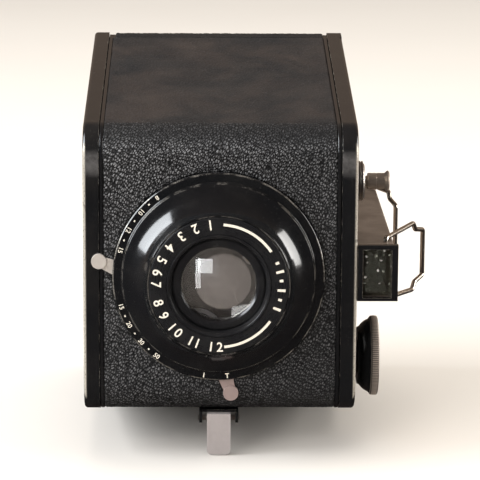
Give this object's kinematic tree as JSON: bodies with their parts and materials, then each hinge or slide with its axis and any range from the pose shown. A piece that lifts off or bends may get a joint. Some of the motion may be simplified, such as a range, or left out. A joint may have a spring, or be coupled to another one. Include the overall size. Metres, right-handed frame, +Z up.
{
  "type": "box camera",
  "caption": "Box roll-film camera on end: leather-wrapped body, enamelled side pans, domed lens bezel, tubular finder, wind knob, plunger release, strap bails, hinged back and fold-out foot.",
  "frame": {"origin": "middle of the bounding box at the bottom: the level of the foot's tip and the lower back edge, on which the camera stands", "axes": "+Y from the lens panel to the hinged back, so the lens looks along -Y; +X towards the finder, wind knob and bails; +Z up as the camera stands on its end"},
  "size_m": [0.1148, 0.1367, 0.1258],
  "materials": {
    "enamel_black": "glossy black baked enamel, worn thin at the edges",
    "inner_black": "matt black, anti-reflection",
    "leather": "fine pebble-grained black leatherette",
    "nickel": "satin nickel plate",
    "bright_nickel": "polished nickel plate",
    "spring_steel": "blued spring steel",
    "brass": "turned brass",
    "spool_paint": "black japanned",
    "lens_glass": "uncoated polished glass",
    "ruby_window": "ruby celluloid",
    "ring_black": "satin black with cream engraved marks"
  },
  "bodies": {
    "camera": {"center_shell": "inner_black", "side_pan_left": "enamel_black", "side_pan_right": "enamel_black", "leather_wrap": "leather", "trim_bead_left": "enamel_black", "trim_bead_right": "enamel_black", "lens_bezel": "enamel_black", "name_ring": "ring_black", "lens_barrel": "ring_black", "lens_retaining_ring": "ring_black", "front_lens": "lens_glass", "shutter_plate": "inner_black", "shutter_spring": "spring_steel", "shutter_posts": "brass", "release_collar": "nickel", "light_cone": "inner_black", "film_gate": "inner_black", "roller_brackets": "spring_steel", "spool_pins": "spring_steel", "spool_springs": "spring_steel", "rear_frame": "inner_black", "body_hinge_leaf": "enamel_black", "hinge_pin": "spring_steel", "door_catch": "spring_steel", "finder_housing": "enamel_black", "finder_front_frame": "enamel_black", "finder_front_lens": "lens_glass", "finder_rear_frame": "enamel_black", "finder_eye_lens": "lens_glass", "shaft_bush": "brass", "foot_bracket": "enamel_black", "foot_pin": "nickel", "tripod_socket_base": "nickel", "tripod_socket_side": "nickel"},
    "door": {"door_shell": "enamel_black", "door_leather": "leather", "window_ring": "nickel", "window_pane": "ruby_window", "pressure_plate": "inner_black", "pressure_springs": "spring_steel", "door_hinge_leaf": "enamel_black"},
    "shutter": {"shutter_disc": "spring_steel"},
    "zone": {"zone_lever": "nickel", "closeup_arm": "spring_steel", "closeup_lens": "lens_glass"},
    "timer": {"time_lever": "nickel"},
    "release": {"release_plunger": "nickel"},
    "washer": {"knob_washer": "spring_steel"},
    "wind": {"wind_knob": "nickel", "knob_skirt": "enamel_black", "wind_shaft": "spring_steel"},
    "takeup": {"takeup_spool": "spool_paint"},
    "supply": {"supply_spool": "spool_paint"},
    "roller_upper": {"roller_top": "bright_nickel"},
    "roller_lower": {"roller_bottom": "bright_nickel"},
    "bail_front": {"front_bail": "bright_nickel"},
    "bail_rear": {"rear_bail": "bright_nickel"},
    "foot": {"foot_plate": "nickel"}
  },
  "joints": [
    {"name": "door_hinge", "type": "hinge", "parent": "camera", "child": "door", "pos_m": [-0.05344, 0.06685, 0.06291], "axis": [0, 0, 1], "range_deg": [0, 120]},
    {"name": "release_push", "type": "slide", "parent": "camera", "child": "release", "axis": [-1, 0, 0], "range_m": [0, 0.004]},
    {"name": "shutter_turn", "type": "hinge", "parent": "camera", "child": "shutter", "pos_m": [-0.00349, -0.0523, 0.06786], "axis": [0, 1, 0], "range_deg": [0, 60]},
    {"name": "zone_swing", "type": "hinge", "parent": "camera", "child": "zone", "pos_m": [-0.03969, -0.05345, 0.06186], "axis": [0, -1, 0], "range_deg": [0, 40]},
    {"name": "time_swing", "type": "hinge", "parent": "camera", "child": "timer", "pos_m": [-0.01299, -0.05345, 0.03516], "axis": [0, 1, 0], "range_deg": [0, 36]},
    {"name": "wind_turn", "type": "hinge", "parent": "camera", "child": "washer", "pos_m": [0.03376, -0.03145, 0.02931], "axis": [1, 0, 0], "continuous": true},
    {"name": "wind_pull", "type": "slide", "parent": "washer", "child": "wind", "axis": [1, 0, 0], "range_m": [0, 0.005]},
    {"name": "takeup_turn", "type": "hinge", "parent": "camera", "child": "takeup", "pos_m": [-0.01244, -0.03145, 0.02931], "axis": [1, 0, 0], "continuous": true},
    {"name": "supply_turn", "type": "hinge", "parent": "camera", "child": "supply", "pos_m": [-0.01244, -0.03145, 0.09651], "axis": [1, 0, 0], "continuous": true},
    {"name": "roller_upper_turn", "type": "hinge", "parent": "camera", "child": "roller_upper", "pos_m": [-0.01244, 0.04905, 0.11891], "axis": [1, 0, 0], "continuous": true},
    {"name": "roller_lower_turn", "type": "hinge", "parent": "camera", "child": "roller_lower", "pos_m": [-0.01244, 0.04905, 0.00691], "axis": [1, 0, 0], "continuous": true},
    {"name": "bail_front_swing", "type": "hinge", "parent": "camera", "child": "bail_front", "pos_m": [0.04226, -0.04525, 0.06266], "axis": [0, 0, -1], "range_deg": [-19, 80]},
    {"name": "bail_rear_swing", "type": "hinge", "parent": "camera", "child": "bail_rear", "pos_m": [0.04226, 0.04705, 0.06266], "axis": [0, 0, 1], "range_deg": [-6, 80]},
    {"name": "foot_fold", "type": "hinge", "parent": "camera", "child": "foot", "pos_m": [-0.01271, -0.04905, 0.01251], "axis": [1, 0, 0], "range_deg": [0, 78]}
  ],
  "couplings": [
    {"joint": "takeup_turn", "follows": "wind_turn", "ratio": 1},
    {"joint": "shutter_turn", "follows": "release_push", "rad_per_m": 250}
  ]
}
